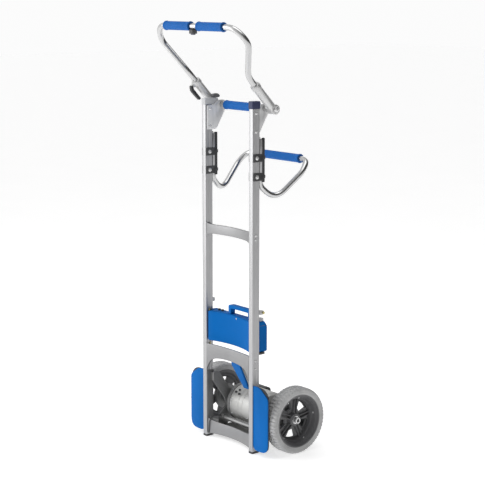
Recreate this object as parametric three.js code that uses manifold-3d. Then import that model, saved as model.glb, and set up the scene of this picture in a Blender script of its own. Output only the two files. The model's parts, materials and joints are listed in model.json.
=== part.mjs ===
// Powered stair-climbing hand truck, in millimetres.
// +Z is up, +X is to the right as seen from the load side, and +Y points to the back.
// The origin is on the floor, under the middle of the whole truck.
import * as THREE from "three";
import { mergeVertices } from "three/addons/utils/BufferGeometryUtils.js";
import Module from "manifold-3d";

const wasm = await Module();
wasm.setup();

// ---------------------------------------------------------------- driving dimensions
const GAP = 0.3; // clearance between touching pieces

const UPRIGHT_INNER = 132; // half the clear width between the uprights
const UPRIGHT_WIDTH = 22.6;
const UPRIGHT_DEPTH = 33.6;
const UPRIGHT_BOTTOM = 8;
const UPRIGHT_TOP = 1326;
const UPRIGHT_WALL = 3.6;
const UPRIGHT_OUTER = UPRIGHT_INNER + UPRIGHT_WIDTH;
const UPRIGHT_MIDDLE = UPRIGHT_INNER + UPRIGHT_WIDTH / 2;

const WHEEL_RADIUS = 130;
const RIM_RADIUS = 104;
const WHEEL_INNER = 204; // inner and outer faces of a wheel, from the middle of the truck
const WHEEL_OUTER = 264;
const AXLE_Y = 145;
const AXLE_RADIUS = 10;
const BRAKE_RADIUS = 52;
const BRAKE_INNER = 187;
const BRAKE_OUTER = 201;

const TUBE_RADIUS = 11; // the bent handles and the cross tube
const GRIP_RADIUS = 16.5;

const PIVOT_Y = 77; // the cross tube is the tilt pivot of the upper handle
const PIVOT_Z = 1324;
const SOCKET_X = 179;
const SOCKET_RADIUS = 16.5;
const SOCKET_LENGTH = 128;
const HANDLE_LEAN = THREE.MathUtils.degToRad(43.7); // sockets lean forward from the vertical

const GRIP_BAR_Y = -145; // top bar of the upper handle
const GRIP_BAR_Z = 1628;

const LOWER_LEG_Y = 45.2; // straight legs of the lower handle
const LOWER_LEG_TOP = 1217;
const LOWER_GRIP_Y = 250;
const LOWER_GRIP_Z = 1124;

const HOUSING_RADIUS = 75;
const HOUSING_LEFT = -104;
const HOUSING_RIGHT = 104;

const TIE_Y = 64;
const TIE_Z = 76;
const TIE_RADIUS = 10;

const ARM_REACH = 102; // wheel axle to the roller of a climbing arm
const ARM_DROP = THREE.MathUtils.degToRad(25); // parked arms point back and down
const ROLLER_RADIUS = 22;

const BATTERY_BOTTOM = 396;
const BATTERY_TOP = 516;
const BATTERY_BACK = 80;

// The box of the whole truck is centred on the origin in plan.
const FRONT = GRIP_BAR_Y - GRIP_RADIUS - 1.5;
const BACK = AXLE_Y + WHEEL_RADIUS;

// ---------------------------------------------------------------- materials
const finish = (color, roughness, metalness) =>
  new THREE.MeshStandardMaterial({ color, roughness, metalness });
const aluminium = finish(0xc4c6c8, 0.38, 0.9);
const castAluminium = finish(0xb4b6b8, 0.5, 0.85);
const steel = finish(0x9a9c9f, 0.35, 0.95);
const bluePlastic = finish(0x0a68b4, 0.45, 0);
const blueGrip = finish(0x1466b2, 0.7, 0);
const blackPlastic = finish(0x1c1d20, 0.6, 0);
const navyPlastic = finish(0x232a3c, 0.55, 0);
const rimPlastic = finish(0x4c4d4f, 0.6, 0);
const tyreRubber = finish(0x949494, 0.85, 0);
const greyPlastic = finish(0xa6a8aa, 0.55, 0.1);

// ---------------------------------------------------------------- helpers
const truck = new THREE.Group();
truck.position.y = -(FRONT + BACK) / 2;

function add(name, geometry, material) {
  const mesh = new THREE.Mesh(geometry, material);
  mesh.name = name;
  truck.add(mesh);
  return mesh;
}

// Both sides are called with -1 for the left and 1 for the right.
const sides = [
  ["left", -1],
  ["right", 1],
];

function solid(geometry) {
  const bare = geometry.index ? geometry.toNonIndexed() : geometry.clone();
  const positionOnly = new THREE.BufferGeometry();
  positionOnly.setAttribute("position", bare.getAttribute("position"));
  const merged = mergeVertices(positionOnly, 1e-3);
  return new wasm.Manifold(
    new wasm.Mesh({
      numProp: 3,
      vertProperties: new Float32Array(merged.attributes.position.array),
      triVerts: new Uint32Array(merged.index.array),
    }),
  );
}

function geometryOf(manifold) {
  const mesh = manifold.getMesh();
  const geometry = new THREE.BufferGeometry();
  geometry.setAttribute("position", new THREE.BufferAttribute(mesh.vertProperties, 3));
  geometry.setIndex(new THREE.BufferAttribute(mesh.triVerts, 1));
  return geometry;
}

const join = (first, ...others) =>
  geometryOf(others.reduce((sum, g) => sum.add(solid(g)), solid(first)));
const cut = (first, ...others) =>
  geometryOf(others.reduce((rest, g) => rest.subtract(solid(g)), solid(first)));

function box([x0, y0, z0], [x1, y1, z1]) {
  const geometry = new THREE.BoxGeometry(x1 - x0, y1 - y0, z1 - z0);
  return geometry.translate((x0 + x1) / 2, (y0 + y1) / 2, (z0 + z1) / 2);
}

// A rod along X, centred at (y, z).
function rodX(radius, x0, x1, y, z, segments = 20) {
  const geometry = new THREE.CylinderGeometry(radius, radius, x1 - x0, segments);
  return geometry.rotateZ(Math.PI / 2).translate((x0 + x1) / 2, y, z);
}

// A turned piece around an axis along X: the closed profile is a loop of [radius, x] pairs.
function turnedX(profile, y, z, segments = 24) {
  const loop = profile.map(([radius, x]) => new THREE.Vector2(radius, x));
  loop.push(loop[0].clone());
  const area = loop.slice(1).reduce((sum, p, i) => sum + loop[i].x * p.y - p.x * loop[i].y, 0);
  if (area < 0) loop.reverse();
  const geometry = new THREE.LatheGeometry(loop, segments);
  return geometry.rotateZ(-Math.PI / 2).translate(0, y, z);
}

const shapeOf = (points) => new THREE.Shape(points.map(([u, v]) => new THREE.Vector2(u, v)));

// Outlines are drawn in one plane and given a thickness along the third axis.
function plateInYZ(shape, x0, x1, curveSegments = 3) {
  const geometry = new THREE.ExtrudeGeometry(shape, {
    depth: x1 - x0,
    bevelEnabled: false,
    curveSegments,
  });
  geometry.applyMatrix4(new THREE.Matrix4().set(0, 0, 1, x0, 1, 0, 0, 0, 0, 1, 0, 0, 0, 0, 0, 1));
  return geometry;
}

function plateInXZ(shape, y0, y1, curveSegments = 3) {
  const geometry = new THREE.ExtrudeGeometry(shape, {
    depth: y1 - y0,
    bevelEnabled: false,
    curveSegments,
  });
  geometry.applyMatrix4(new THREE.Matrix4().set(1, 0, 0, 0, 0, 0, -1, y1, 0, 1, 0, 0, 0, 0, 0, 1));
  return geometry;
}

function columnInXY(shape, z0, z1, curveSegments = 3) {
  const geometry = new THREE.ExtrudeGeometry(shape, {
    depth: z1 - z0,
    bevelEnabled: false,
    curveSegments,
  });
  return geometry.translate(0, 0, z0);
}

// A closed outline whose corners are rounded: each corner is [u, v, radius].
function roundedOutline(corners) {
  const shape = new THREE.Shape();
  corners.forEach(([u, v, radius], i) => {
    const here = new THREE.Vector2(u, v);
    const before = new THREE.Vector2(...corners.at(i - 1).slice(0, 2));
    const after = new THREE.Vector2(...corners[(i + 1) % corners.length].slice(0, 2));
    const start = here.clone().add(before.sub(here).setLength(radius));
    const end = here.clone().add(after.sub(here).setLength(radius));
    if (i === 0) shape.moveTo(start.x, start.y);
    else shape.lineTo(start.x, start.y);
    if (radius > 0) shape.quadraticCurveTo(u, v, end.x, end.y);
  });
  shape.closePath();
  return shape;
}

const mirrored = (points, side) => points.map(([x, ...rest]) => [side * x, ...rest]);

// The same, with the points kept in anticlockwise order.
function outlineOn(side, points) {
  return side > 0 ? points : mirrored(points, side).toReversed();
}

// From the inner to the outer distance on one side, lowest X first.
const span = (side, inner, outer) => (side > 0 ? [inner, outer] : [-outer, -inner]);

// A bent round bar through the given points; each bend is rounded by its own length.
function bentBar(points, radius, steps, sides = 10) {
  const path = new THREE.CurvePath();
  const corners = points.map(([x, y, z]) => new THREE.Vector3(x, y, z));
  let from = corners[0];
  for (let i = 1; i < corners.length - 1; i++) {
    const bend = points[i][3];
    const here = corners[i];
    const start = here.clone().add(corners[i - 1].clone().sub(here).setLength(bend));
    const end = here.clone().add(corners[i + 1].clone().sub(here).setLength(bend));
    path.add(new THREE.LineCurve3(from, start));
    path.add(new THREE.QuadraticBezierCurve3(start, here, end));
    from = end;
  }
  path.add(new THREE.LineCurve3(from, corners.at(-1)));
  const section = new THREE.Shape().absarc(0, 0, radius, 0, 2 * Math.PI);
  return new THREE.ExtrudeGeometry(section, {
    steps,
    curveSegments: sides / 2,
    extrudePath: path,
    bevelEnabled: false,
  });
}

// A cross member between the uprights that bows towards the back.
// height(x) gives its lower and upper edge.
function bowedMember(height, front, thickness, bow, stations = 24) {
  const half = UPRIGHT_INNER - GAP;
  const points = [];
  for (let i = 0; i <= stations; i++) {
    const x = -half + (2 * half * i) / stations;
    const [low, high] = height(x);
    const y = front + bow * (1 - (x / half) ** 2);
    points.push(x, y, low, x, y + thickness, low, x, y + thickness, high, x, y, high);
  }
  const index = [0, 2, 1, 0, 3, 2];
  for (let i = 0; i < stations; i++)
    for (let corner = 0; corner < 4; corner++) {
      const here = 4 * i + corner;
      const next = 4 * i + ((corner + 1) % 4);
      index.push(here, next, next + 4, here, next + 4, here + 4);
    }
  const last = 4 * stations;
  index.push(last, last + 1, last + 2, last, last + 2, last + 3);
  const geometry = new THREE.BufferGeometry();
  geometry.setAttribute("position", new THREE.Float32BufferAttribute(points, 3));
  geometry.setIndex(index);
  return geometry;
}

// ---------------------------------------------------------------- frame
function uprightOutline(side) {
  const x0 = UPRIGHT_MIDDLE - UPRIGHT_WIDTH / 2;
  const x1 = UPRIGHT_MIDDLE + UPRIGHT_WIDTH / 2;
  const grooveDepth = 1.6;
  const groove0 = 10;
  const groove1 = UPRIGHT_DEPTH - 10;
  const outline = [
    [x0, 0],
    [x1, 0],
    [x1, groove0],
    [x1 - grooveDepth, groove0 + grooveDepth],
    [x1 - grooveDepth, groove1 - grooveDepth],
    [x1, groove1],
    [x1, UPRIGHT_DEPTH],
    [x0, UPRIGHT_DEPTH],
  ];
  const shape = shapeOf(outlineOn(side, outline));
  const bore = [
    [x0 + UPRIGHT_WALL, UPRIGHT_WALL],
    [x1 - UPRIGHT_WALL - grooveDepth, UPRIGHT_WALL],
    [x1 - UPRIGHT_WALL - grooveDepth, UPRIGHT_DEPTH - UPRIGHT_WALL],
    [x0 + UPRIGHT_WALL, UPRIGHT_DEPTH - UPRIGHT_WALL],
  ];
  shape.holes.push(shapeOf(outlineOn(side, bore)));
  return shape;
}

for (const [label, side] of sides) {
  const shape = uprightOutline(side);
  add(`upright_${label}`, columnInXY(shape, UPRIGHT_BOTTOM, UPRIGHT_TOP), aluminium);

  const x0 = UPRIGHT_INNER - 0.8;
  const x1 = UPRIGHT_OUTER + 0.8;
  const foot = roundedOutline(
    mirrored([[x0, -0.8, 3], [x1, -0.8, 3], [x1, 34.4, 3], [x0, 34.4, 3]], side),
  );
  add(`foot_cap_${label}`, columnInXY(foot, 0, UPRIGHT_BOTTOM - GAP, 3), blackPlastic);
}

// Flat in the middle and flared where it meets the uprights.
const flared = (middle, halfHeight, flare) => (x) => {
  const reach = Math.max(0, Math.abs(x) - 96) / (UPRIGHT_INNER - 96);
  const half = halfHeight + flare * reach * reach;
  return [middle - half, middle + half];
};
add("upper_crossbar", bowedMember(flared(844, 18, 7), 2, 12, 20), aluminium);

const LOWER_BAR_TOP = 384;
const archedPlate = (x) => {
  const reach = Math.abs(x) / UPRIGHT_INNER;
  return [336 - 14 * reach ** 2 - 44 * reach ** 8, LOWER_BAR_TOP];
};
add("lower_crossbar", bowedMember(archedPlate, 0, 7, 10, 32), aluminium);

const basePlate = (x) => [14, 62 + 14 * (x / UPRIGHT_INNER) ** 4];
const tray = box([-111, 33, 38], [111, 108, 43]);
add("base_plate", join(bowedMember(basePlate, 6, 7, 24, 24), tray), aluminium);

// The side plates of the drive hang the axle from the uprights: one arm slopes up to a
// flange on the upright, the other comes down behind the base plate.
const AXLE_PLATE_INNER = 112;
const AXLE_PLATE_OUTER = 119;
for (const [label, side] of sides) {
  const outline = roundedOutline([
    [22, 268, 6],
    [46, 268, 12],
    [112, 174, 20],
    [AXLE_Y + 32, 164, 24],
    [AXLE_Y + 32, 98, 24],
    [108, 88, 16],
    [82, 18, 10],
    [48, 18, 8],
    [48, 86, 12],
    [88, 122, 14],
    [76, 150, 12],
    [22, 226, 6],
  ]);
  const x = span(side, AXLE_PLATE_INNER, AXLE_PLATE_OUTER);
  const plate = plateInYZ(outline, x[0], x[1]);
  const bore = rodX(16 + GAP, x[0] - 5, x[1] + 5, AXLE_Y, WHEEL_RADIUS);
  const flangeX = span(side, AXLE_PLATE_INNER, UPRIGHT_INNER - GAP);
  const flange = box([flangeX[0], 20, 230], [flangeX[1], 32, 264]);
  add(`axle_plate_${label}`, cut(join(plate, flange), bore), castAluminium);

  const bearing = [
    [AXLE_RADIUS + GAP, AXLE_PLATE_INNER - 3],
    [16, AXLE_PLATE_INNER - 3],
    [16, AXLE_PLATE_OUTER + GAP],
    [24, AXLE_PLATE_OUTER + GAP],
    [24, AXLE_PLATE_OUTER + 8],
    [AXLE_RADIUS + GAP, AXLE_PLATE_OUTER + 8],
  ];
  const ring = bearing.map(([radius, x]) => [radius, side * x]);
  add(`axle_bearing_${label}`, turnedX(ring, AXLE_Y, WHEEL_RADIUS, 20), steel);
}

// ---------------------------------------------------------------- handle brackets and cross tube
const BRACKET_THICKNESS = 5;
for (const [label, side] of sides) {
  const outline = roundedOutline([
    [6, 1230, 4],
    [50, 1230, 12],
    [96, 1308, 12],
    [94, 1342, 14],
    [60, 1342, 10],
    [40, 1324, 10],
    [6, 1324, 4],
  ]);
  const inner = UPRIGHT_INNER - GAP - BRACKET_THICKNESS;
  const x = span(side, inner, UPRIGHT_INNER - GAP);
  const plate = plateInYZ(outline, x[0], x[1]);
  const bore = rodX(TUBE_RADIUS + GAP, x[0] - 5, x[1] + 5, PIVOT_Y, PIVOT_Z);
  add(`handle_bracket_${label}`, cut(plate, bore), aluminium);
}
const CROSS_TUBE_END = SOCKET_X + SOCKET_RADIUS + 3;
add("cross_tube", rodX(TUBE_RADIUS, -CROSS_TUBE_END, CROSS_TUBE_END, PIVOT_Y, PIVOT_Z), aluminium);

// A grip is a sleeve with a flange at each end.
function grip(x0, x1, y, z) {
  const bore = TUBE_RADIUS + GAP;
  const flange = GRIP_RADIUS + 1.5;
  const profile = [
    [bore, x0],
    [flange, x0],
    [flange, x0 + 5],
    [GRIP_RADIUS, x0 + 7],
    [GRIP_RADIUS, x1 - 7],
    [flange, x1 - 5],
    [flange, x1],
    [bore, x1],
  ];
  return turnedX(profile, y, z, 16);
}
add("cross_grip", grip(-99, 99, PIVOT_Y, PIVOT_Z), blueGrip);

// A light clamp on the left upright and a dark box on the right one close their top ends.
const LEFT_TOP = [
  [-UPRIGHT_OUTER - 1, -1, UPRIGHT_TOP + GAP],
  [-UPRIGHT_INNER, 62, UPRIGHT_TOP + 24],
];
add("top_clamp", box(...LEFT_TOP), greyPlastic);
const RIGHT_TOP = [
  [UPRIGHT_INNER - 2, -2, UPRIGHT_TOP + GAP],
  [UPRIGHT_OUTER + 1, 37, UPRIGHT_TOP + 29],
];
add("control_box", box(...RIGHT_TOP), navyPlastic);

// ---------------------------------------------------------------- lower handle
const lowerLeg = [
  [UPRIGHT_MIDDLE, LOWER_LEG_Y, LOWER_LEG_TOP],
  [UPRIGHT_MIDDLE, LOWER_LEG_Y, 1036, 15],
  [162, 102, 980, 55],
  [194, 208, 1079, 16],
  [183, LOWER_GRIP_Y, LOWER_GRIP_Z, 42],
];
const lowerPath = [
  ...mirrored(lowerLeg, 1),
  ...mirrored(lowerLeg.toReversed(), -1),
];
add("lower_handle_tube", bentBar(lowerPath, TUBE_RADIUS, 60), aluminium);
add("lower_handle_grip", grip(-138, 138, LOWER_GRIP_Y, LOWER_GRIP_Z), blueGrip);

// Each leg is held by two clamps. Their cheeks reach round the upright, and a narrow strap
// goes round the back of the leg.
const CLAMP_HEIGHT = 30;
const CHEEK = 2.7;
for (const [label, side] of sides)
  for (const [place, z] of [
    ["upper", 1144],
    ["lower", 1073],
  ]) {
    const outside = span(side, UPRIGHT_INNER - GAP - CHEEK, UPRIGHT_OUTER + GAP + CHEEK);
    const inside = span(side, UPRIGHT_INNER - GAP, UPRIGHT_OUTER + GAP);
    const z0 = z - CLAMP_HEIGHT / 2;
    const z1 = z + CLAMP_HEIGHT / 2;
    const block = box([outside[0], 2, z0], [outside[1], LOWER_LEG_Y, z1]);
    const strap = box([outside[0], 35, z - 6], [outside[1], LOWER_LEG_Y + 14, z + 6]);
    const slot = box([inside[0], -5, z0 - 5], [inside[1], UPRIGHT_DEPTH + GAP, z1 + 5]);
    const bore = new THREE.CylinderGeometry(TUBE_RADIUS + GAP, TUBE_RADIUS + GAP, 90, 24)
      .rotateX(Math.PI / 2)
      .translate(side * UPRIGHT_MIDDLE, LOWER_LEG_Y, z);
    add(`handle_clamp_${place}_${label}`, cut(join(block, strap), slot, bore), blackPlastic);
  }

// ---------------------------------------------------------------- wheel guards
const GUARD_FRONT = 3.5;
const GUARD_BACK = 8.5;
const GUARD_OUTER = 240;
const GUARD_BOTTOM = 18;
const GUARD_TOP = 272;
for (const [label, side] of sides) {
  const inner = UPRIGHT_OUTER + GAP;
  const corners = [
    [inner, GUARD_BOTTOM, 22],
    [GUARD_OUTER, GUARD_BOTTOM, 38],
    [GUARD_OUTER, GUARD_TOP - 36, 14],
    [GUARD_OUTER - 50, GUARD_TOP, 16],
    [inner, GUARD_TOP, 8],
  ];
  const face = plateInXZ(roundedOutline(mirrored(corners, side)), GUARD_FRONT, GUARD_BACK, 5);
  const flangeX = span(side, inner, inner + 3);
  const flange = box([flangeX[0], GUARD_FRONT + 1, 40], [flangeX[1], 30, 250]);
  add(`wheel_guard_${label}`, join(face, flange), bluePlastic);

  const linerCorners = [
    [inner + 5, GUARD_BOTTOM + 4, 20],
    [GUARD_OUTER - 1, GUARD_BOTTOM + 4, 30],
    [GUARD_OUTER - 1, GUARD_TOP - 26, 18],
    [GUARD_OUTER - 30, GUARD_TOP - 2, 18],
    [inner + 5, GUARD_TOP - 2, 8],
  ];
  const liner = roundedOutline(mirrored(linerCorners, side));
  add(
    `guard_liner_${label}`,
    plateInXZ(liner, GUARD_BACK + GAP, GUARD_BACK + GAP + 4.5),
    blackPlastic,
  );
}

// ---------------------------------------------------------------- drive unit
// A tube under the drive ties the two side plates together.
const TIE_END = AXLE_PLATE_INNER - GAP;
const tieProfile = [
  [0, -TIE_END],
  [TIE_RADIUS, -TIE_END],
  [TIE_RADIUS, TIE_END],
  [0, TIE_END],
];
add("tie_tube", turnedX(tieProfile, TIE_Y, TIE_Z, 20), aluminium);

function housing() {
  const bore = AXLE_RADIUS + GAP;
  const profile = [
    [bore, HOUSING_LEFT + 28 + GAP],
    [HOUSING_RADIUS, HOUSING_LEFT + 28 + GAP],
    [HOUSING_RADIUS, HOUSING_RIGHT - 14],
    [HOUSING_RADIUS - 10, HOUSING_RIGHT],
    [bore, HOUSING_RIGHT],
  ];
  return turnedX(profile, AXLE_Y, WHEEL_RADIUS, 36);
}
add("gear_housing", housing(), castAluminium);

const coverProfile = [
  [AXLE_RADIUS + GAP, HOUSING_LEFT],
  [58, HOUSING_LEFT],
  [64, HOUSING_LEFT + 8],
  [HOUSING_RADIUS - 4, HOUSING_LEFT + 8],
  [HOUSING_RADIUS + 2, HOUSING_LEFT + 14],
  [HOUSING_RADIUS + 2, HOUSING_LEFT + 28],
  [AXLE_RADIUS + GAP, HOUSING_LEFT + 28],
];
add("gear_end_cover", turnedX(coverProfile, AXLE_Y, WHEEL_RADIUS, 36), castAluminium);

// Whatever sits on the housing is cut to its round outside.
const aroundHousing = () =>
  rodX(HOUSING_RADIUS + 2 + GAP, -200, 200, AXLE_Y, WHEEL_RADIUS, 36);

const motorShape = roundedOutline([
  [150, 138, 4],
  [222, 138, 14],
  [222, 196, 18],
  [150, 196, 4],
]);
add("motor_cover", cut(plateInYZ(motorShape, -62, 2), aroundHousing()), blackPlastic);

// A sloping strip ties the drive to the lower crossbar. It narrows towards its foot.
const stripShape = shapeOf([
  [17.5, 352],
  [17.5, 322],
  [80, 216],
  [86, 220],
  [24, 326],
  [24, 352],
]);
const stripTaper = plateInXZ(shapeOf([[58, 330], [33, 212], [62, 212]]), 0, 120);
add("drive_bracket", cut(plateInYZ(stripShape, 4, 57), stripTaper), bluePlastic);

const mountShape = roundedOutline([
  [26.5, 322, 2],
  [56, 322, 12],
  [122, 206, 8],
  [122, 170, 4],
  [96, 170, 4],
  [88.5, 216, 4],
]);
add(
  "drive_mount",
  cut(plateInYZ(mountShape, 14, 50), aroundHousing()),
  castAluminium,
);

// The axle carries a brake disc just inside each wheel.
const AXLE_END = WHEEL_INNER + 44;
const axleHalf = [
  [AXLE_RADIUS, BRAKE_INNER],
  [BRAKE_RADIUS - 2, BRAKE_INNER],
  [BRAKE_RADIUS, BRAKE_INNER + 2],
  [BRAKE_RADIUS, BRAKE_OUTER - 2],
  [BRAKE_RADIUS - 2, BRAKE_OUTER],
  [AXLE_RADIUS, BRAKE_OUTER],
  [AXLE_RADIUS, AXLE_END],
  [0, AXLE_END],
];
const axleProfile = [
  ...axleHalf.toReversed().map(([radius, x]) => [radius, -x]),
  ...axleHalf,
];
add("axle", turnedX(axleProfile, AXLE_Y, WHEEL_RADIUS, 20), steel);

// ---------------------------------------------------------------- climbing arms
const ARM_INNER = 165;
const ARM_OUTER = 176;
const ROLLER_Y = AXLE_Y + ARM_REACH * Math.cos(ARM_DROP);
const ROLLER_Z = WHEEL_RADIUS - ARM_REACH * Math.sin(ARM_DROP);
for (const [label, side] of sides) {
  const outline = new THREE.Shape();
  outline.absarc(0, 0, 26, Math.PI / 2 - ARM_DROP, (3 * Math.PI) / 2 - ARM_DROP);
  outline.absarc(
    ROLLER_Y - AXLE_Y,
    ROLLER_Z - WHEEL_RADIUS,
    16,
    -Math.PI / 2 - ARM_DROP,
    Math.PI / 2 - ARM_DROP,
  );
  outline.closePath();
  const x = span(side, ARM_INNER, ARM_OUTER);
  const arm = plateInYZ(outline, x[0], x[1]).translate(0, AXLE_Y, WHEEL_RADIUS);
  const axleBore = rodX(AXLE_RADIUS + GAP, x[0] - 5, x[1] + 5, AXLE_Y, WHEEL_RADIUS);
  const pinX = span(side, ARM_INNER + 2, 198);
  const pin = rodX(6, pinX[0], pinX[1], ROLLER_Y, ROLLER_Z, 16);
  add(`climbing_arm_${label}`, cut(join(arm, pin), axleBore), castAluminium);

  const roller = [
    [6 + GAP, 177],
    [ROLLER_RADIUS - 3, 177],
    [ROLLER_RADIUS, 180],
    [ROLLER_RADIUS, 193],
    [ROLLER_RADIUS - 3, 196],
    [6 + GAP, 196],
  ];
  const ring = roller.map(([radius, rollerX]) => [radius, side * rollerX]);
  add(`arm_roller_${label}`, turnedX(ring, ROLLER_Y, ROLLER_Z, 20), blackPlastic);
}

// ---------------------------------------------------------------- wheels
const HOLES = 5;
const HOLE_INNER = 39;
const HOLE_OUTER = 73;
const HOLE_HALF_ANGLE = THREE.MathUtils.degToRad(18);
const firstHole = { left: 88, right: 45 }; // degrees round the axle from the back

function rim(side, firstAngle) {
  const profile = [
    [AXLE_RADIUS + GAP, WHEEL_INNER + 2],
    [28, WHEEL_INNER + 2],
    [30, WHEEL_INNER + 8],
    [84, WHEEL_INNER + 8],
    [92, WHEEL_INNER + 2],
    [RIM_RADIUS, WHEEL_INNER + 2],
    [RIM_RADIUS, WHEEL_OUTER - 2],
    [RIM_RADIUS - 5, WHEEL_OUTER - 2],
    [94, WHEEL_OUTER - 8],
    [80, WHEEL_INNER + 18],
    [28, WHEEL_INNER + 18],
    [25, WHEEL_INNER + 36],
    [AXLE_RADIUS + GAP, WHEEL_INNER + 36],
  ];
  let body = solid(turnedX(profile.map(([r, x]) => [r, side * x]), AXLE_Y, WHEEL_RADIUS, 30));
  for (let i = 0; i < HOLES; i++) {
    const middle = THREE.MathUtils.degToRad(firstAngle) + (i * 2 * Math.PI) / HOLES;
    const hole = new THREE.Shape();
    hole.absarc(0, 0, HOLE_OUTER, middle - HOLE_HALF_ANGLE, middle + HOLE_HALF_ANGLE);
    hole.absarc(0, 0, HOLE_INNER, middle + HOLE_HALF_ANGLE * 0.8, middle - HOLE_HALF_ANGLE * 0.8, true);
    const drill = plateInYZ(hole, -320, 320, 4).translate(0, AXLE_Y, WHEEL_RADIUS);
    body = body.subtract(solid(drill).trimByPlane([side, 0, 0], 0));
  }
  return geometryOf(body);
}

for (const [label, side] of sides) {
  const r = WHEEL_RADIUS;
  const tyre = [
    [RIM_RADIUS + GAP, WHEEL_INNER + 2],
    [r - 14, WHEEL_INNER],
    [r - 5, WHEEL_INNER + 2],
    [r - 1.4, WHEEL_INNER + 6],
    [r, WHEEL_INNER + 13],
    [r, WHEEL_OUTER - 13],
    [r - 1.4, WHEEL_OUTER - 6],
    [r - 5, WHEEL_OUTER - 2],
    [r - 14, WHEEL_OUTER],
    [RIM_RADIUS + GAP, WHEEL_OUTER - 2],
  ];
  const ring = tyre.map(([radius, x]) => [radius, side * x]);
  add(`tyre_${label}`, turnedX(ring, AXLE_Y, r, 48), tyreRubber);
  add(`rim_${label}`, rim(side, firstHole[label]), rimPlastic);

  const nutX = span(side, AXLE_END + GAP, AXLE_END + 8);
  add(`wheel_nut_${label}`, rodX(13, nutX[0], nutX[1], AXLE_Y, r, 6), steel);
}

// ---------------------------------------------------------------- battery
function batteryPlan() {
  const inset = UPRIGHT_INNER - 4;
  const side = 150;
  const shape = new THREE.Shape();
  shape.moveTo(-inset, 4);
  shape.quadraticCurveTo(0, 52, inset, 4);
  shape.lineTo(inset, UPRIGHT_DEPTH + 3);
  shape.lineTo(side, UPRIGHT_DEPTH + 3);
  shape.lineTo(side, BATTERY_BACK - 10);
  shape.quadraticCurveTo(side, BATTERY_BACK, side - 10, BATTERY_BACK);
  shape.lineTo(-side + 10, BATTERY_BACK);
  shape.quadraticCurveTo(-side, BATTERY_BACK, -side, BATTERY_BACK - 10);
  shape.lineTo(-side, UPRIGHT_DEPTH + 3);
  shape.lineTo(-inset, UPRIGHT_DEPTH + 3);
  shape.closePath();
  return shape;
}
const rearChamfer = plateInYZ(
  shapeOf([
    [BATTERY_BACK - 16, BATTERY_TOP + 1],
    [BATTERY_BACK + 1, BATTERY_TOP - 24],
    [BATTERY_BACK + 1, BATTERY_TOP + 1],
  ]),
  -160,
  160,
);
add(
  "battery_case",
  cut(columnInXY(batteryPlan(), BATTERY_BOTTOM, BATTERY_TOP, 8), rearChamfer),
  bluePlastic,
);

const handleOutline = roundedOutline([
  [-37, BATTERY_TOP + GAP, 1],
  [-37, BATTERY_TOP + 36, 8],
  [97, BATTERY_TOP + 36, 8],
  [97, BATTERY_TOP + GAP, 1],
  [83, BATTERY_TOP + GAP, 1],
  [83, BATTERY_TOP + 23, 4],
  [-23, BATTERY_TOP + 23, 4],
  [-23, BATTERY_TOP + GAP, 1],
]);
add("battery_handle", plateInXZ(handleOutline, 36, 58, 3), bluePlastic);

function standingRod(radius, x, y, z0, z1, segments = 16) {
  const geometry = new THREE.CylinderGeometry(radius, radius, z1 - z0, segments);
  return geometry.rotateX(Math.PI / 2).translate(x, y, (z0 + z1) / 2);
}
for (const [label, x] of [
  ["left", -104],
  ["right", -84],
])
  add(
    `battery_knob_${label}`,
    standingRod(5.5, x, 44, BATTERY_TOP + GAP, BATTERY_TOP + 7),
    blackPlastic,
  );

add(
  "charging_socket",
  box([126, 44, BATTERY_TOP + GAP], [146, 62, BATTERY_TOP + 12]),
  greyPlastic,
);

// The battery stands on a shelf. Two ears fix the shelf to the backs of the uprights.
const SHELF_BOTTOM = BATTERY_BOTTOM - 8;
const SHELF_FRONT = 60;
const SHELF_LOW = [-UPRIGHT_INNER, SHELF_FRONT, SHELF_BOTTOM];
const SHELF_HIGH = [UPRIGHT_INNER, BATTERY_BACK - 1, BATTERY_BOTTOM - GAP];
const shelf = box(SHELF_LOW, SHELF_HIGH);
const ears = sides.map(([, side]) => {
  const x = span(side, UPRIGHT_INNER - 6, UPRIGHT_OUTER);
  return box([x[0], UPRIGHT_DEPTH + GAP, SHELF_BOTTOM], [x[1], SHELF_FRONT + 1, BATTERY_BOTTOM - GAP]);
});
add("battery_dock", join(shelf, ...ears), blackPlastic);

// ---------------------------------------------------------------- upper handle
// Along the socket (s) and in front of it (p), seen from the side, from the pivot.
const along = [-Math.sin(HANDLE_LEAN), Math.cos(HANDLE_LEAN)];
const ahead = [-Math.cos(HANDLE_LEAN), -Math.sin(HANDLE_LEAN)];
const onSocket = (s, p) => [
  PIVOT_Y + s * along[0] + p * ahead[0],
  PIVOT_Z + s * along[1] + p * ahead[1],
];

const LEVER_SEAT = 23; // the lug under the lever, from the middle of the socket
const leverLug = plateInYZ(
  shapeOf([[114, 10], [114, LEVER_SEAT], [SOCKET_LENGTH, LEVER_SEAT], [SOCKET_LENGTH, 10]].map(
    ([s, p]) => onSocket(s, p),
  )),
  -SOCKET_X - 6,
  -SOCKET_X + 6,
);

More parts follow.
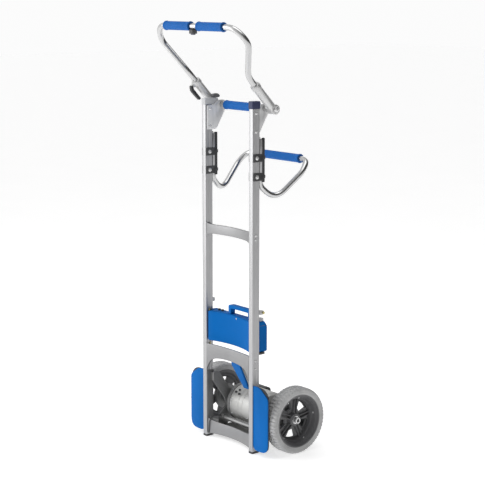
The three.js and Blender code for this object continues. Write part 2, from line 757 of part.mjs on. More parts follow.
for (const [label, side] of sides) {
  const bottom = -4;
  const profile = [
    [0, bottom],
    [SOCKET_RADIUS, bottom],
    [SOCKET_RADIUS, SOCKET_LENGTH - 18],
    [SOCKET_RADIUS + 2, SOCKET_LENGTH - 16],
    [SOCKET_RADIUS + 2, SOCKET_LENGTH],
    [0, SOCKET_LENGTH],
  ].map(([radius, s]) => new THREE.Vector2(radius, s));
  const stem = new THREE.LatheGeometry(profile, 20)
    .rotateX(Math.PI / 2 + HANDLE_LEAN)
    .translate(side * SOCKET_X, PIVOT_Y, PIVOT_Z);
  const x0 = side * SOCKET_X - SOCKET_RADIUS;
  const x1 = side * SOCKET_X + SOCKET_RADIUS;
  const eye = rodX(19, x0, x1, PIVOT_Y, PIVOT_Z);
  const bore = rodX(TUBE_RADIUS + GAP, x0 - 9, x1 + 9, PIVOT_Y, PIVOT_Z);
  const body = side < 0 ? join(stem, eye, leverLug) : join(stem, eye);
  add(`handle_socket_${label}`, cut(body, bore), aluminium);
}

const upperLeg = [
  [SOCKET_X, ...onSocket(SOCKET_LENGTH + GAP, 0)],
  [SOCKET_X, ...onSocket(SOCKET_LENGTH + 46, 0), 28],
  [SOCKET_X + 87, -109, 1572, 28],
  [SOCKET_X + 52, GRIP_BAR_Y, GRIP_BAR_Z, 44],
];
const upperPath = [...mirrored(upperLeg, 1), ...mirrored(upperLeg.toReversed(), -1)];
add("upper_handle_tube", bentBar(upperPath, TUBE_RADIUS, 60), aluminium);
add("upper_grip_left", grip(-182, -28, GRIP_BAR_Y, GRIP_BAR_Z), blueGrip);
add("upper_grip_right", grip(19, 168, GRIP_BAR_Y, GRIP_BAR_Z), blueGrip);

// The drive switch hangs under the bar between the grips, with a trigger in its lower end.
const SWITCH_TOP = GRIP_BAR_Z - TUBE_RADIUS - GAP;
const switchBody = box(
  [-26, GRIP_BAR_Y - 11, SWITCH_TOP - 16],
  [-4, GRIP_BAR_Y + 11, SWITCH_TOP],
);
const triggerPocket = box(
  [-22, GRIP_BAR_Y - 7, SWITCH_TOP - 17],
  [-8, GRIP_BAR_Y + 7, SWITCH_TOP - 6],
);
add("switch_housing", cut(switchBody, triggerPocket), blackPlastic);
const TRIGGER_TRAVEL = 4;
add(
  "switch_trigger",
  box(
    [-21.5, GRIP_BAR_Y - 6.5, SWITCH_TOP - 20],
    [-8.5, GRIP_BAR_Y + 6.5, SWITCH_TOP - 6 - TRIGGER_TRAVEL - 0.5],
  ),
  navyPlastic,
);

// The release lever lies in front of the left socket and swings on a lug below the collar.
const LEVER_X = [-SOCKET_X - 7, -SOCKET_X + 7];
const leverOutline = roundedOutline(
  [
    [62, 31, 5],
    [62, 42, 5],
    [112, 44, 6],
    [126, 37, 4],
    [131, 30, 3],
    [124, LEVER_SEAT + 1, 3],
    [114, 31, 5],
  ].map(([s, p, radius]) => [...onSocket(s, p), radius]),
);
add("release_lever", plateInYZ(leverOutline, ...LEVER_X, 4), blackPlastic);

// A pawl on the left bracket holds the handle up until the lever lets it go.
const pawlOutline = roundedOutline([
  [41, 1355, 2],
  [44, 1351, 2],
  [72, 1351, 3],
  [75, 1359, 3],
  [64, 1367, 4],
  [43, 1364, 3],
]);
add("lock_pawl", plateInYZ(pawlOutline, -UPRIGHT_OUTER + 2, -UPRIGHT_INNER - 4, 4), rimPlastic);

export default truck;
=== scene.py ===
import json
import math

import bmesh
import bpy
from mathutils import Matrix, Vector


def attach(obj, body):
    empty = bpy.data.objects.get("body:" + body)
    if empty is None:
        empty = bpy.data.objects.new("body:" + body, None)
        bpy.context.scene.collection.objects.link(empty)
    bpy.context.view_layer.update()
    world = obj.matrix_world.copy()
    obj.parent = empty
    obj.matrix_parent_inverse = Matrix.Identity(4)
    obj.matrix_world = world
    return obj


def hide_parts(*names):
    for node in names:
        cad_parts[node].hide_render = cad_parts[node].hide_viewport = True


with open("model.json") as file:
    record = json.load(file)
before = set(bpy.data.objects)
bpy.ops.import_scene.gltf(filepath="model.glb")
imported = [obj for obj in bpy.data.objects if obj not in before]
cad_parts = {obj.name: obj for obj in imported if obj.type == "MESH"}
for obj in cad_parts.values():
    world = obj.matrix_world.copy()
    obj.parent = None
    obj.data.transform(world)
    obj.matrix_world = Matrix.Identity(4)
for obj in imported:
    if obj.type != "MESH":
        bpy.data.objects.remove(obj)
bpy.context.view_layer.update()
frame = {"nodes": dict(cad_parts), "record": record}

nodes = frame["nodes"]

# Sizes below are in millimetres. Y is measured from the front faces of the uprights,
# which stand 56 mm in front of the middle of the truck.
MM = 0.001
FRONT_TO_MIDDLE = 56.0
SIDES = (("left", -1), ("right", 1))
ON_AXIS = 0.01  # the radius at which a closed end of a turned piece stops

AXLE_Y = 145.0
AXLE_Z = 130.0
AXLE_BORE = 10.4
UPRIGHT_INNER = 132.0
UPRIGHT_OUTER = 154.6
UPRIGHT_DEPTH = 33.6
UPRIGHT_MIDDLE = (UPRIGHT_INNER + UPRIGHT_OUTER) / 2
CHANNEL_FLOOR = UPRIGHT_OUTER - 1.5
TUBE_RADIUS = 11.0
GRIP_RADIUS = 16.5
LEG_Y = 45.2
TIE_Y = 64.0
TIE_Z = 76.0
TIE_RADIUS = 10.0
TIE_END = 111.7
PIVOT_Y = 77.0
PIVOT_Z = 1324.0
PIVOT_END = 198.5
SOCKET_X = 179.0
LEAN = math.radians(43.7)
ARM_REACH = 102.0
ARM_DROP = math.radians(25)
ROLLER_Y = AXLE_Y + ARM_REACH * math.cos(ARM_DROP)
ROLLER_Z = AXLE_Z - ARM_REACH * math.sin(ARM_DROP)


def place(x, y, z):
    """A point of the truck in the frame, in metres."""
    return Vector((x * MM, (y - FRONT_TO_MIDDLE) * MM, z * MM))


# ---------------------------------------------------------------- materials
class Nodes:
    """A small helper that builds one node material."""

    def __init__(self, name):
        self.material = bpy.data.materials.new(name)
        self.material.use_nodes = True
        self.tree = self.material.node_tree
        self.shader = self.tree.nodes["Principled BSDF"]
        coordinates = self.tree.nodes.new("ShaderNodeTexCoord")
        self.coordinates = coordinates.outputs["Object"]

    def link(self, source, target):
        self.tree.links.new(source, target)

    def stretched(self, scale):
        mapping = self.tree.nodes.new("ShaderNodeMapping")
        mapping.inputs["Scale"].default_value = scale
        self.link(self.coordinates, mapping.inputs["Vector"])
        return mapping.outputs["Vector"]

    def noise(self, scale, detail=3.0, stretch=(1, 1, 1), distortion=0.0):
        noise = self.tree.nodes.new("ShaderNodeTexNoise")
        noise.inputs["Scale"].default_value = scale
        noise.inputs["Detail"].default_value = detail
        noise.inputs["Distortion"].default_value = distortion
        self.link(self.stretched(stretch), noise.inputs["Vector"])
        return noise.outputs["Fac"]

    def voronoi(self, scale, stretch=(1, 1, 1)):
        cells = self.tree.nodes.new("ShaderNodeTexVoronoi")
        cells.inputs["Scale"].default_value = scale
        self.link(self.stretched(stretch), cells.inputs["Vector"])
        return cells.outputs["Distance"]

    def ramp(self, value, stops):
        ramp = self.tree.nodes.new("ShaderNodeValToRGB")
        elements = ramp.color_ramp.elements
        while len(elements) < len(stops):
            elements.new(0.5)
        for element, (position, color) in zip(elements, stops):
            element.position = position
            element.color = (*color, 1)
        self.link(value, ramp.inputs["Fac"])
        return ramp.outputs["Color"]

    def between(self, value, low, high):
        span = self.tree.nodes.new("ShaderNodeMapRange")
        span.inputs["From Min"].default_value = 0.3
        span.inputs["From Max"].default_value = 0.7
        span.inputs["To Min"].default_value = low
        span.inputs["To Max"].default_value = high
        self.link(value, span.inputs["Value"])
        return span.outputs["Result"]

    def bump(self, height, strength, distance, below=None):
        bump = self.tree.nodes.new("ShaderNodeBump")
        bump.inputs["Strength"].default_value = strength
        bump.inputs["Distance"].default_value = distance
        self.link(height, bump.inputs["Height"])
        if below:
            self.link(below, bump.inputs["Normal"])
        return bump.outputs["Normal"]


def linear(red, green, blue):
    """An sRGB colour from 0 to 255, as linear numbers."""
    result = []
    for value in (red, green, blue):
        part = value / 255
        result.append(part / 12.92 if part <= 0.04045 else ((part + 0.055) / 1.055) ** 2.4)
    return tuple(result)


def shade(color, factor):
    return tuple(min(1.0, part * factor) for part in color)


def brushed_metal(name, color, roughness, stretch, grain=0.12, cloud=5.0, metallic=0.92):
    """Drawn or brushed metal: long fine lines, faint clouds of handling marks."""
    made = Nodes(name)
    lines = made.noise(420, 3, stretch)
    clouds = made.noise(cloud, 4, (1, 1, 0.5), 0.6)
    tone = made.ramp(
        clouds, [(0.3, shade(color, 0.9)), (0.52, color), (0.75, shade(color, 1.07))]
    )
    streaks = made.ramp(lines, [(0.35, (0.86, 0.86, 0.87)), (0.6, (1, 1, 1))])
    toned = made.tree.nodes.new("ShaderNodeMix")
    toned.data_type = "RGBA"
    toned.blend_type = "MULTIPLY"
    toned.inputs[0].default_value = 0.6
    made.link(tone, toned.inputs[6])
    made.link(streaks, toned.inputs[7])
    made.link(toned.outputs[2], made.shader.inputs["Base Color"])
    made.link(made.between(lines, roughness - 0.06, roughness + 0.09), made.shader.inputs["Roughness"])
    made.shader.inputs["Metallic"].default_value = metallic
    made.link(made.bump(lines, grain, 0.0002), made.shader.inputs["Normal"])
    return made.material


def cast_metal(name, color, roughness, metallic=0.85, grain=0.25):
    """Blasted casting: a fine pebbled skin with darker pits."""
    made = Nodes(name)
    pebbles = made.noise(900, 4)
    clouds = made.noise(9, 4, (1, 1, 1), 0.4)
    tone = made.ramp(
        clouds, [(0.3, shade(color, 0.8)), (0.5, color), (0.72, shade(color, 1.12))]
    )
    pits = made.ramp(pebbles, [(0.3, (0.7, 0.7, 0.7)), (0.5, (1, 1, 1))])
    toned = made.tree.nodes.new("ShaderNodeMix")
    toned.data_type = "RGBA"
    toned.blend_type = "MULTIPLY"
    toned.inputs[0].default_value = 0.55
    made.link(tone, toned.inputs[6])
    made.link(pits, toned.inputs[7])
    made.link(toned.outputs[2], made.shader.inputs["Base Color"])
    made.link(made.between(clouds, roughness - 0.07, roughness + 0.1), made.shader.inputs["Roughness"])
    made.shader.inputs["Metallic"].default_value = metallic
    made.link(made.bump(pebbles, grain, 0.0004), made.shader.inputs["Normal"])
    return made.material


def moulded_plastic(name, color, roughness, grain=0.2, grain_scale=1400, wear=0.35, gloss=0.4):
    """Moulded plastic: leather grain, faint flow clouds and paler worn edges."""
    made = Nodes(name)
    cells = made.voronoi(grain_scale)
    speckle = made.noise(grain_scale * 0.7, 2)
    clouds = made.noise(7, 3, (1, 1, 0.6), 0.5)
    tone = made.ramp(
        clouds, [(0.3, shade(color, 0.88)), (0.5, color), (0.72, shade(color, 1.1))]
    )
    geometry = made.tree.nodes.new("ShaderNodeNewGeometry")
    edges = made.ramp(
        geometry.outputs["Pointiness"], [(0.52, (0, 0, 0)), (0.6, (wear, wear, wear))]
    )
    pale = tuple(part + (1 - part) * 0.22 for part in color)
    worn = made.tree.nodes.new("ShaderNodeMix")
    worn.data_type = "RGBA"
    made.link(edges, worn.inputs[0])
    made.link(tone, worn.inputs[6])
    worn.inputs[7].default_value = (*pale, 1)
    made.link(worn.outputs[2], made.shader.inputs["Base Color"])
    worn_gloss = made.between(speckle, roughness - 0.05, roughness + 0.08)
    made.link(worn_gloss, made.shader.inputs["Roughness"])
    made.shader.inputs["Specular IOR Level"].default_value = gloss
    fine = made.bump(cells, grain, 0.0003)
    made.link(made.bump(speckle, grain * 0.5, 0.0002, fine), made.shader.inputs["Normal"])
    return made.material


def tyre_rubber(name, color):
    """Dull grey rubber with mould speckle and rubbed, paler patches."""
    made = Nodes(name)
    speckle = made.noise(1100, 4)
    rubbed = made.noise(14, 5, (1, 1, 1), 0.8)
    tone = made.ramp(
        rubbed, [(0.32, shade(color, 0.84)), (0.5, color), (0.7, shade(color, 1.13))]
    )
    dust = made.ramp(speckle, [(0.36, (0.72, 0.72, 0.73)), (0.56, (1, 1, 1))])
    toned = made.tree.nodes.new("ShaderNodeMix")
    toned.data_type = "RGBA"
    toned.blend_type = "MULTIPLY"
    toned.inputs[0].default_value = 0.5
    made.link(tone, toned.inputs[6])
    made.link(dust, toned.inputs[7])
    made.link(toned.outputs[2], made.shader.inputs["Base Color"])
    made.link(made.between(speckle, 0.74, 0.92), made.shader.inputs["Roughness"])
    made.shader.inputs["Specular IOR Level"].default_value = 0.25
    made.link(made.bump(speckle, 0.35, 0.0004), made.shader.inputs["Normal"])
    return made.material


ALUMINIUM = linear(176, 176, 177)
upright_metal = brushed_metal("anodised_upright", ALUMINIUM, 0.36, (1, 1, 0.012))
# The cross members take the upright aluminium darkened to 0.72: painted shade that keeps their key-lit
# front faces mid-grey.
shaded_member_metal = brushed_metal("anodised_member_shaded", shade(ALUMINIUM, 0.72), 0.42, (0.02, 1, 1))
tube_metal = brushed_metal(
    "polished_tube", linear(200, 200, 200), 0.2, (1, 1, 0.05), 0.04, metallic=1.0
)
plate_metal = brushed_metal(
    "plate_aluminium", linear(226, 226, 226), 0.45, (1, 0.2, 0.04), metallic=0.45
)
socket_metal = cast_metal("cast_socket", linear(214, 214, 214), 0.36, 0.6, 0.12)
cast = cast_metal("cast_aluminium", linear(188, 188, 186), 0.46, 0.7)
# A darker copy of the cast aluminium: painted shade, used on parts low down, behind the drum and on
# the inner faces of the uprights.
shaded_cast = cast_metal("cast_aluminium_shadow", linear(136, 136, 136), 0.52, 0.5, 0.4)
dull_tube = brushed_metal("dull_tube", linear(150, 150, 150), 0.42, (0.05, 1, 1), 0.06, metallic=0.8)
zinc = brushed_metal("zinc_steel", linear(226, 226, 226), 0.24, (1, 1, 0.4), 0.06, metallic=0.7)
brass = brushed_metal("brass_pin", linear(196, 184, 128), 0.38, (0.3, 1, 1), 0.08)
blue = moulded_plastic("blue_moulding", linear(0, 98, 174), 0.55, 0.1, 1500, wear=0.1, gloss=0.06)
blue_grip = moulded_plastic(
    "blue_grip_sleeve", linear(2, 92, 170), 0.55, 0.25, 1100, wear=0.2, gloss=0.2
)
black = moulded_plastic("black_moulding", linear(34, 35, 38), 0.5, 0.2, 1300)
navy = moulded_plastic("navy_moulding", linear(28, 36, 76), 0.48, 0.18, 1300)
rim_plastic = moulded_plastic("rim_moulding", linear(92, 92, 94), 0.5, 0.25, 1000)
grey = moulded_plastic("grey_moulding", linear(190, 191, 193), 0.45, 0.15, 1300)
tyre = tyre_rubber("grey_tyre", linear(186, 186, 186))

NODE_BODY = {
    name: body
    for body, members in frame["record"]["behaviour"]["bodies"].items()
    for name in members
}


# ---------------------------------------------------------------- mesh helpers
def finished(name, mesh_data, material, body, sharp=32.0):
    """Closes off a new piece: one material, smooth up to the sharp angle, a body."""
    piece = bpy.data.objects.new(name, mesh_data)
    bpy.context.scene.collection.objects.link(piece)
    mesh_data.materials.clear()
    mesh_data.materials.append(material)
    mesh_data.polygons.foreach_set("material_index", [0] * len(mesh_data.polygons))
    mesh_data.shade_smooth()
    mesh_data.set_sharp_from_angle(angle=math.radians(sharp))
    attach(piece, body)
    return piece


def applied(piece):
    """The mesh of a piece with its modifiers worked in."""
    bpy.context.view_layer.update()
    graph = bpy.context.evaluated_depsgraph_get()
    return bpy.data.meshes.new_from_object(piece.evaluated_get(graph))


def worked(mesh_data, *steps):
    """Runs modifiers, given as (type, {settings}), over a mesh and returns the result."""
    piece = bpy.data.objects.new("work", mesh_data)
    bpy.context.scene.collection.objects.link(piece)
    for kind, settings in steps:
        modifier = piece.modifiers.new(kind.lower(), kind)
        for key, value in settings.items():
            setattr(modifier, key, value)
    result = applied(piece)
    bpy.data.objects.remove(piece)
    return result


def bevel(width, segments=2, angle=32.0):
    settings = {
        "width": width * MM,
        "segments": segments,
        "limit_method": "ANGLE",
        "angle_limit": math.radians(angle),
        "use_clamp_overlap": True,
        "harden_normals": False,
        "miter_outer": "MITER_ARC",
    }
    return "BEVEL", settings


def mesh_of(vertices, faces):
    mesh_data = bpy.data.meshes.new("mesh")
    mesh_data.from_pydata([tuple(vertex) for vertex in vertices], [], faces)
    made = bmesh.new()
    made.from_mesh(mesh_data)
    bmesh.ops.recalc_face_normals(made, faces=made.faces)
    made.to_mesh(mesh_data)
    made.free()
    return mesh_data


def joined(*meshes):
    """Several meshes as one."""
    made = bmesh.new()
    for mesh_data in meshes:
        made.from_mesh(mesh_data)
    result = bpy.data.meshes.new("mesh")
    made.to_mesh(result)
    made.free()
    return result


def cleaned_node(name):
    """The CAD node's mesh as a few flat faces, ready for a bevel."""
    made = bmesh.new()
    made.from_mesh(nodes[name].data)
    bmesh.ops.remove_doubles(made, verts=made.verts, dist=0.02 * MM)
    bmesh.ops.dissolve_limit(
        made, angle_limit=math.radians(0.5), verts=made.verts, edges=made.edges
    )
    result = bpy.data.meshes.new(name)
    made.to_mesh(result)
    made.free()
    return result


def softened(name, width, material, segments=2):
    """Replaces a CAD node by the same solid with rounded edges."""
    mesh_data = worked(cleaned_node(name), bevel(width, segments))
    piece = finished(f"{name}_shell", mesh_data, material, NODE_BODY[name])
    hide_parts(name)


def circle(radius, segments, start=0.0):
    return [
        (
            radius * math.cos(start + 2 * math.pi * i / segments),
            radius * math.sin(start + 2 * math.pi * i / segments),
        )
        for i in range(segments)
    ]


def rings(loops, closed=True):
    """Joins equal loops of points by quads; the ends are capped, or joined if closed."""
    count = len(loops[0])
    vertices = [point for loop in loops for point in loop]
    faces = []
    pairs = len(loops) if closed else len(loops) - 1
    for i in range(pairs):
        a = i * count
        b = ((i + 1) % len(loops)) * count
        for j in range(count):
            k = (j + 1) % count
            faces.append((a + j, a + k, b + k, b + j))
    if not closed:
        faces.append(tuple(reversed(range(count))))
        faces.append(tuple(range((len(loops) - 1) * count, len(loops) * count)))
    return mesh_of(vertices, faces)


def turned(profile, segments, y=AXLE_Y, z=AXLE_Z, wave=None):
    """A ring round an axis along X from a closed loop of (radius, x) pairs."""
    loops = []
    for i in range(segments):
        angle = 2 * math.pi * i / segments
        loop = []
        for radius, x in profile:
            reach = radius + (wave(i, radius, x) if wave else 0)
            loop.append(place(x, y + reach * math.cos(angle), z + reach * math.sin(angle)))
        loops.append(loop)
    return rings(loops)


def arc_points(corners, steps=6):
    """A closed outline of (u, v, radius) corners with each corner rounded."""
    outline = []
    for i, (u, v, radius) in enumerate(corners):
        here = Vector((u, v))
        before = Vector(corners[i - 1][:2])
        after = Vector(corners[(i + 1) % len(corners)][:2])
        if radius <= 0:
            outline.append((u, v))
            continue
        start = here + (before - here).normalized() * radius
        end = here + (after - here).normalized() * radius
        for k in range(steps + 1):
            t = k / steps
            point = start * (1 - t) ** 2 + here * 2 * t * (1 - t) + end * t**2
            outline.append((point.x, point.y))
    return outline


def slab(outline, low, high, axis):
    """An outline given a thickness. The outline lies in the other two axes, in order."""
    def point(u, v, w):
        if axis == "x":
            return place(w, u, v)
        if axis == "y":
            return place(u, w, v)
        return place(u, v, w)

    return rings([[point(u, v, w) for u, v in outline] for w in (low, high)], closed=False)


def without(mesh_data, *cutters):
    """The mesh with other solids cut out of it."""
    result = mesh_data
    for cutter in cutters:
        tool = bpy.data.objects.new("cutter", cutter)
        bpy.context.scene.collection.objects.link(tool)
        settings = {"object": tool, "operation": "DIFFERENCE", "solver": "EXACT"}
        result = worked(result, ("BOOLEAN", settings))
        bpy.data.objects.remove(tool)
    return result


def path_of(points, step=4.0):
    """Points along a bent bar. Each inner point's fourth value is the length of its bend."""
    corners = [Vector(point[:3]) for point in points]
    line = [corners[0]]
    for i in range(1, len(corners) - 1):
        length = points[i][3]
        here = corners[i]
        start = here + (corners[i - 1] - here).normalized() * length
        end = here + (corners[i + 1] - here).normalized() * length
        straight = (start - line[-1]).length
        pieces = max(1, int(straight / 30))
        origin = line[-1].copy()
        line += [origin.lerp(start, k / pieces) for k in range(1, pieces + 1)]
        bends = max(8, int(2 * length / step))
        for k in range(1, bends + 1):
            t = k / bends
            line.append(start * (1 - t) ** 2 + here * 2 * t * (1 - t) + end * t**2)
    straight = (corners[-1] - line[-1]).length
    pieces = max(1, int(straight / 30))
    origin = line[-1].copy()
    line += [origin.lerp(corners[-1], k / pieces) for k in range(1, pieces + 1)]
    return line


def swept(line, radius, sides=24):
    """A round bar along a line of points, with flat closed ends."""
    first = (line[1] - line[0]).normalized()
    across = first.orthogonal().normalized()
    loops = []
    for i, point in enumerate(line):
        before = line[max(i - 1, 0)]
        after = line[min(i + 1, len(line) - 1)]
        along = (after - before).normalized()
        across = (across - along * across.dot(along)).normalized()
        up = along.cross(across)
        loops.append(
            [place(*(point + across * u + up * v)) for u, v in circle(radius, sides)]
        )
    return rings(loops, closed=False)


def mirrored(points):
    return [(-point[0], *point[1:]) for point in points]


def hexagon(angle):
    """How far a hexagon reaches at an angle, as a share of its corner radius."""
    sixth = math.pi / 6
    return math.cos(sixth) / math.cos((angle + sixth) % (2 * sixth) - sixth)


# ---------------------------------------------------------------- screws
def button_screw(centre, axis, radius, height):
    """A domed screw head with a hexagonal socket. Its back is at centre."""
    profile = [
        (1.0, 0.0), (1.0, 0.3), (0.93, 0.62), (0.74, 0.88), (0.5, 1.0), (0.44, 1.0), (0.42, 0.35),
    ]
    axis = Vector(axis).normalized()
    across = axis.orthogonal().normalized()
    up = axis.cross(across)
    segments = 24
    loops = []
    for share, level in profile:
        loop = []
        for i in range(segments):
            angle = 2 * math.pi * i / segments
            reach = share * radius
            if share < 0.45:
                reach *= hexagon(angle)
            offset = across * math.cos(angle) + up * math.sin(angle)
            loop.append(place(*(Vector(centre) + offset * reach + axis * level * height)))
        loops.append(loop)
    return rings(loops, closed=False)


def washer(centre, axis, inner, outer, height, segments=28):
    axis = Vector(axis).normalized()
    across = axis.orthogonal().normalized()
    up = axis.cross(across)
    profile = [(inner, 0), (outer, 0), (outer, height * 0.7), (outer - 0.5, height), (inner, height)]
    loops = []
    for i in range(segments):
        angle = 2 * math.pi * i / segments
        offset = across * math.cos(angle) + up * math.sin(angle)
        loops.append(
            [place(*(Vector(centre) + offset * r + axis * h)) for r, h in profile]
        )
    return rings(loops)


def screws(name, places, body="frame", material=None):
    """A set of like screws: each place is (centre, axis, radius, height)."""
    parts = []
    for centre, axis, radius, height in places:
        base = Vector(centre)
        direction = Vector(axis)
        parts.append(washer(base, direction, radius * 0.4, radius * 1.25, 0.8))
        parts.append(button_screw(base + direction * 0.8, direction, radius, height))
    return finished(name, joined(*parts), material or zinc, body, 40)


# ---------------------------------------------------------------- uprights
def upright_profile(side):
    """Rounded box: a shallow channel and two fine lines outside, a channel inside."""
    corners = [
        (UPRIGHT_INNER, 0.0, 2.0),
        (UPRIGHT_OUTER, 0.0, 2.0),
        (UPRIGHT_OUTER, 7.0, 0.3),
        (UPRIGHT_OUTER - 0.7, 7.5, 0.2),
        (UPRIGHT_OUTER, 8.0, 0.3),
        (UPRIGHT_OUTER, 10.6, 0.4),
        (UPRIGHT_OUTER - 1.6, 12.2, 0.6),
        (UPRIGHT_OUTER - 1.6, 21.4, 0.6),
        (UPRIGHT_OUTER, 23.0, 0.4),
        (UPRIGHT_OUTER, 25.6, 0.3),
        (UPRIGHT_OUTER - 0.7, 26.1, 0.2),
        (UPRIGHT_OUTER, 26.6, 0.3),
        (UPRIGHT_OUTER, UPRIGHT_DEPTH, 2.0),
        (UPRIGHT_INNER, UPRIGHT_DEPTH, 2.0),
        (UPRIGHT_INNER, 20.2, 0.4),
        (UPRIGHT_INNER + 1.4, 18.8, 0.5),
        (UPRIGHT_INNER + 1.4, 14.8, 0.5),
        (UPRIGHT_INNER, 13.4, 0.4),
    ]
    outline = arc_points(corners, 3)
    return outline if side > 0 else [(-x, y) for x, y in outline]


for label, side in SIDES:
    outline = upright_profile(side)
    section = slab(outline, 8.0, 1326.0, "z")
    piece = finished(f"upright_{label}_profile", section, upright_metal, "frame", 28)
    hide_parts(f"upright_{label}")
    softened(f"foot_cap_{label}", 1.2, black)

# ---------------------------------------------------------------- cross members
def bowed(height, front, thickness, bow, stations=72, rows=6):
    """A curved cross member with rounded long edges."""
    half = UPRIGHT_INNER - 0.3
    edge = min(1.6, thickness * 0.3)
    loops = []
    for i in range(stations + 1):
        x = -half + 2 * half * i / stations
        low, high = height(x)
        y = front + bow * (1 - (x / half) ** 2)
        corners = [
            (y, low, edge), (y + thickness, low, edge), (y + thickness, high, edge), (y, high, edge),
        ]
        loops.append([place(x, v, w) for v, w in arc_points(corners, 3)])
    return rings(loops, closed=False)


def flared(middle, half_height, flare):
    def height(x):
        reach = max(0.0, abs(x) - 96) / (UPRIGHT_INNER - 96)
        half = half_height + flare * reach * reach
        return middle - half, middle + half
    return height


def arched_plate(x):
    reach = abs(x) / UPRIGHT_INNER
    return 336 - 14 * reach**2 - 44 * reach**8, 384


def base_plate_height(x):
    return 14, 62 + 14 * (x / UPRIGHT_INNER) ** 4


for name, mesh_data in (
    ("upper_crossbar", bowed(flared(844, 18, 7), 2, 12, 20)),
    ("lower_crossbar", bowed(arched_plate, 0, 7, 10)),
    ("base_plate", bowed(base_plate_height, 6, 7, 24)),
):
    piece = finished(f"{name}_sheet", mesh_data, shaded_member_metal, "frame", 50)
    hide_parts(name)

tray_corners = [(-111, 34, 2), (111, 34, 2), (111, 108, 8), (-111, 108, 8)]
tray = worked(slab(arc_points(tray_corners), 38, 43, "z"), bevel(1.0, 2))
finished("base_plate_tray", tray, shaded_cast, "frame")

# ---------------------------------------------------------------- handles
lower_leg = [
    (UPRIGHT_MIDDLE, LEG_Y, 1217),
    (UPRIGHT_MIDDLE, LEG_Y, 1036, 15),
    (162, 102, 980, 55),
    (194, 208, 1079, 16),
    (183, 250, 1124, 42),
]
lower_path = lower_leg + mirrored(lower_leg)[::-1]


def along_socket(s, p):
    """A point beside the left or right socket, along it (s) and in front of it (p)."""
    return (
        PIVOT_Y - s * math.sin(LEAN) - p * math.cos(LEAN),
        PIVOT_Z + s * math.cos(LEAN) - p * math.sin(LEAN),
    )


upper_leg = [
    (SOCKET_X, *along_socket(128.3, 0)),
    (SOCKET_X, *along_socket(174, 0), 28),
    (SOCKET_X + 86.2, -109, 1572, 28),
    (SOCKET_X + 52, -145, 1628, 44),
]
upper_path = upper_leg + mirrored(upper_leg)[::-1]
for name, route, body in (
    ("lower_handle_tube", lower_path, "frame"),
    ("upper_handle_tube", upper_path, "upper_handle"),
):
    mesh_data = swept(path_of(route), TUBE_RADIUS)
    piece = finished(f"{name}_bend", mesh_data, tube_metal, body, 40)
    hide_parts(name)


def plain_bar(radius, half_length, chamfer):
    """The profile of a round bar centred on the truck, with chamfered ends."""
    half = [(radius, half_length - chamfer), (radius - chamfer, half_length), (ON_AXIS, half_length)]
    return [(r, -x) for r, x in reversed(half)] + half


cross = turned(plain_bar(TUBE_RADIUS, PIVOT_END, 0.8), 32, PIVOT_Y, PIVOT_Z)
piece = finished("cross_tube_bar", cross, tube_metal, "frame", 40)
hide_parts("cross_tube")


def grip_sleeve(name, x0, x1, y, z, body):
    """A soft sleeve: a rounded flange at each end and shallow lengthwise flutes between."""
    flange = GRIP_RADIUS + 1.5
    bore = TUBE_RADIUS + 0.3
    end = [(bore, 0.6), (bore + 1, 0), (flange - 1.4, 0), (flange - 0.4, 0.5), (flange, 1.5)]
    end += [(flange, 3.8), (flange - 0.5, 5.2), (GRIP_RADIUS, 7)]
    profile = [(radius, x0 + depth) for radius, depth in end]
    count = 14
    for i in range(1, count):
        profile.append((GRIP_RADIUS, x0 + 7 + (x1 - x0 - 14) * i / count))
    profile += [(radius, x1 - depth) for radius, depth in reversed(end)]

    def flutes(i, radius, x):
        inside = min(x - x0, x1 - x)
        if radius < GRIP_RADIUS - 0.01 or inside <= 9:
            return 0
        return -0.45 * (0.5 + 0.5 * math.cos(i * math.pi / 2))

    mesh_data = turned(profile, 96, y, z, flutes)
    piece = finished(f"{name}_sleeve", mesh_data, blue_grip, body, 60)
    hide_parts(name)


grip_sleeve("cross_grip", -99, 99, PIVOT_Y, PIVOT_Z, "frame")
grip_sleeve("lower_handle_grip", -138, 138, 250, 1124, "frame")
grip_sleeve("upper_grip_left", -182, -28, -145, 1628, "upper_handle")
grip_sleeve("upper_grip_right", 19, 168, -145, 1628, "upper_handle")

# ---------------------------------------------------------------- wheels
WHEEL_RADIUS = 130.0
WHEEL_INNER = 206.0
WHEEL_OUTER = 262.0
WHEEL_MIDDLE = (WHEEL_INNER + WHEEL_OUTER) / 2
WEB_INNER = 212.0
WEB_OUTER = 222.0
HOLES = 5
HOLE_INNER = 40
HOLE_OUTER = 73
FIRST_HOLE = {"left": 88, "right": 45}  # degrees round the axle from the back


def tyre_profile(side):
    half = [(104.3, WHEEL_INNER), (110, 205), (111, 204.3), (113, 204.3), (114, 205), (117, 204.2)]
    half += [(121, 204.3), (125, 206), (127.6, 208.6), (129.2, 212)]
    half += [(WHEEL_RADIUS, 217), (WHEEL_RADIUS, 223), (128.2, 224), (128.2, 226)]
    half += [(WHEEL_RADIUS, 227), (WHEEL_RADIUS, 233)]
    other = [(radius, 2 * WHEEL_MIDDLE - x) for radius, x in reversed(half[:-1])]
    return [(radius, side * x) for radius, x in half + other]


TREAD_BLOCKS = 56


def tread(i, radius, x):
    """Cross grooves, staggered between the two halves of the tread."""
    if radius < 124:
        return 0
    shift = 0 if abs(x) < WHEEL_MIDDLE else 3
    return -3.2 if (i + shift) % 6 in (0, 1) else 0


def ring_plate(inner, outer, x0, x1, segments=80):
    return turned([(inner, x0), (outer, x0), (outer, x1), (inner, x1)], segments)


def around_axle(radius, angle, x):
    return x, AXLE_Y + radius * math.cos(angle), AXLE_Z + radius * math.sin(angle)


